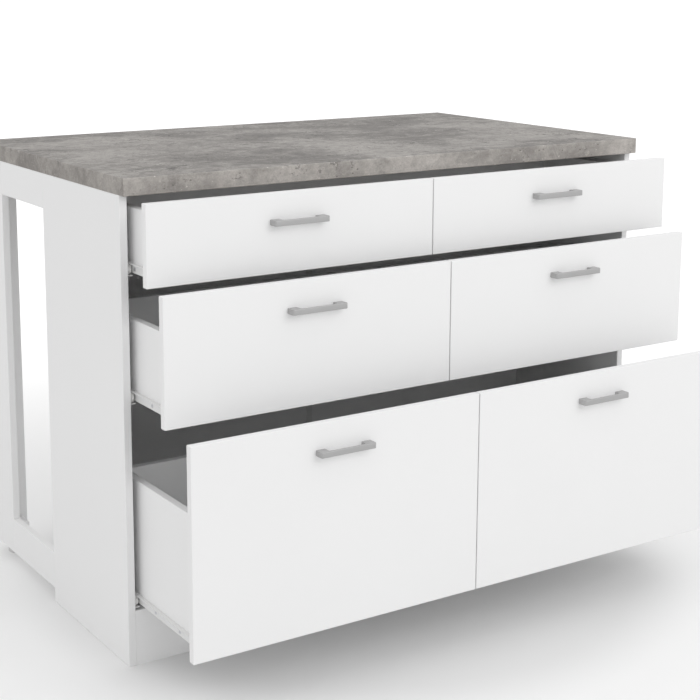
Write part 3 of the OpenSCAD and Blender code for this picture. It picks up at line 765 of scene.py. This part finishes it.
bow, given = new_tree("bow_handle", Length=HANDLE_LENGTH, Height=0.0105, Stand_Off=0.02,
                      Bar=0.006, Foot=0.0195, Corner=0.004, Fillet=0.003)
outer = rounded_block(bow, given["Length"], given["Stand Off"], given["Corner"], given["Height"],
                      vector(bow, Y=times(bow, given["Stand Off"], -0.5)))
reach = calculate(bow, "SUBTRACT", given["Stand Off"], given["Bar"])
gap = calculate(bow, "SUBTRACT", given["Length"], times(bow, given["Foot"], 2.0))
hollow_middle = times(bow, calculate(bow, "SUBTRACT", reach, SPARE), -0.5)
hollow = rounded_block(bow, gap, calculate(bow, "ADD", reach, SPARE), given["Fillet"],
                       times(bow, given["Height"], 2.0), vector(bow, Y=hollow_middle))
bar = subtract(bow, outer, hollow)
angle = add(bow, "GeometryNodeInputMeshEdgeAngle").outputs["Unsigned Angle"]
creased = calculate(bow, "GREATER_THAN", angle, CREASE)
off_front = calculate(bow, "LESS_THAN", position(bow)["Y"], FRONT_SKIN)
marked = add(bow, "GeometryNodeStoreNamedAttribute", {"data_type": "FLOAT", "domain": "EDGE"},
             Geometry=bar, Name="bevel_weight_edge", Value=times(bow, creased, off_front))
end_tree(bow, given, set_on(bow, given["Geometry"], marked.outputs[0]))

# %% Two handles on each drawer
HANDLE_ROUNDING = 0.0009

for row, body in DRAWERS.items():
    (_, _, low), (right_end, face, high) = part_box(f"drawer_{row}_handles")
    middle, height = right_end - HANDLE_LENGTH / 2, (low + high) / 2
    carrier = points([(-middle, face, height), (middle, face, height)])
    handles = grown(bow, carrier, "handle_metal", rounding=HANDLE_ROUNDING)
    finished_piece(f"handles_of_{body}", [handles], "handle_metal", body,
                   f"drawer_{row}_handles")

# %% [markdown]
# ## Angle brackets under the worktop
#
# Three brackets on each side hold the worktop to the open frame. Each is a strip of zinc-plated
# steel bent to a right angle, with a hole in each leg. The same block helper draws the outside
# and the inside of the bend, and two cylinders drill the holes. The brackets' screws come from
# the screw tree, so that a bracket and its screws make one piece.

# %% Bracket tree
BRACKET_LEG, BRACKET_PLATE = 0.022, 0.002
DRILL_LENGTH = 0.01
QUARTER = math.pi / 2

iron, given = new_tree("angle_bracket", Leg=BRACKET_LEG, Width=0.02, Thickness=BRACKET_PLATE,
                       Bend=0.0015, Hole_Radius=0.00225)
leg, plate = given["Leg"], given["Thickness"]
half_leg = times(iron, leg, 0.5)
outside = rounded_block(iron, leg, leg, calculate(iron, "ADD", given["Bend"], plate),
                        given["Width"], vector(iron, X=half_leg, Y=half_leg),
                        one_corner=True)
room = calculate(iron, "ADD", calculate(iron, "SUBTRACT", leg, plate), SPARE)
room_middle = calculate(iron, "ADD", plate, times(iron, room, 0.5))
inside = rounded_block(iron, room, room, given["Bend"], times(iron, given["Width"], 2.0),
                       vector(iron, X=room_middle, Y=room_middle), one_corner=True)
drill = add(iron, "GeometryNodeMeshCylinder", Vertices=20, Radius=given["Hole Radius"],
            Depth=DRILL_LENGTH).outputs["Mesh"]
leg_middle = times(iron, calculate(iron, "ADD", leg, plate), 0.5)
upper_hole = moved(iron, drill, Rotation=(0, QUARTER, 0), Translation=vector(iron, Y=leg_middle))
lower_hole = moved(iron, drill, Rotation=(QUARTER, 0, 0), Translation=vector(iron, X=leg_middle))
bent = subtract(iron, outside, inside, upper_hole, lower_hole)
hung = moved(iron, bent, Rotation=(-QUARTER, 0, 0))
turned = add(iron, "FunctionNodeEulerToRotation",
             Euler=vector(iron, Z=carried(iron, "FLOAT", "turn"))).outputs[0]
end_tree(iron, given, set_on(iron, given["Geometry"], hung, Rotation=turned))

# %% Six brackets and their screws
BRACKET_PLACES = (0.421, 0.511, 0.6305)  # along the depth of the island
BRACKET_SCREW = 0.013

(wall, _, _), (_, _, under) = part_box("side_right")
hole = (BRACKET_LEG + BRACKET_PLATE) / 2
corners, turns, rows = [], [], []
for hand, turn in ((-1, 0.0), (1, math.pi)):
    for y in BRACKET_PLACES:
        corners.append((hand * wall, y, under))
        turns.append(turn)
        rows += [((hand * (wall - BRACKET_PLATE), y, under - hole), (-hand, 0, 0),
                  BRACKET_SCREW, PAN),
                 ((hand * (wall - hole), y, under - BRACKET_PLATE), (0, 0, -1),
                  BRACKET_SCREW, PAN)]
brackets = grown(iron, points(corners, turn=turns), "screw_steel", Leg=BRACKET_LEG,
                 Thickness=BRACKET_PLATE)
finished_piece("brackets_under_worktop", [brackets, screws(rows)], "screw_steel", "carcass",
               "worktop_brackets")

# %% [markdown]
# ## Ribs of the levelling feet
#
# A levelling foot is turned by hand, so its collar has grip ribs all round. They are one small
# bar set on every point of a circle, turned so that it looks outwards, and the ring of bars is
# then set on each foot. The foot itself stays the turned solid from the CAD model.

# %% Rib tree
ribbing, given = new_tree("grip_ribs", Ribs=28, Ring_Radius=0.0152, Rib_Width=0.0013,
                          Rib_Stand=0.0014, Rib_Height=0.0036)
ring = add(ribbing, "GeometryNodeMeshCircle", Vertices=given["Ribs"],
           Radius=given["Ring Radius"]).outputs["Mesh"]
rib_size = vector(ribbing, X=given["Rib Stand"], Y=given["Rib Width"], Z=given["Rib Height"])
rib = add(ribbing, "GeometryNodeMeshCube", Size=rib_size).outputs["Mesh"]
outwards = add(ribbing, "FunctionNodeAlignRotationToVector", {"axis": "X"},
               Vector=add(ribbing, "GeometryNodeInputPosition").outputs[0]).outputs["Rotation"]
crown = set_on(ribbing, ring, rib, Rotation=outwards)
end_tree(ribbing, given, set_on(ribbing, given["Geometry"], crown))

# %% Ribs of both feet
FOOT_RADIUS, COLLAR_HEIGHT = 0.019, 0.027

feet_low, feet_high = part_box("leg_feet")
foot_x = feet_high[0] - FOOT_RADIUS
foot_y = (feet_low[1] + feet_high[1]) / 2
carrier = points([(-foot_x, foot_y, COLLAR_HEIGHT), (foot_x, foot_y, COLLAR_HEIGHT)])
finished_piece("grip_ribs_of_feet", [grown(ribbing, carrier, "foot_plastic")], "foot_plastic",
               "carcass")
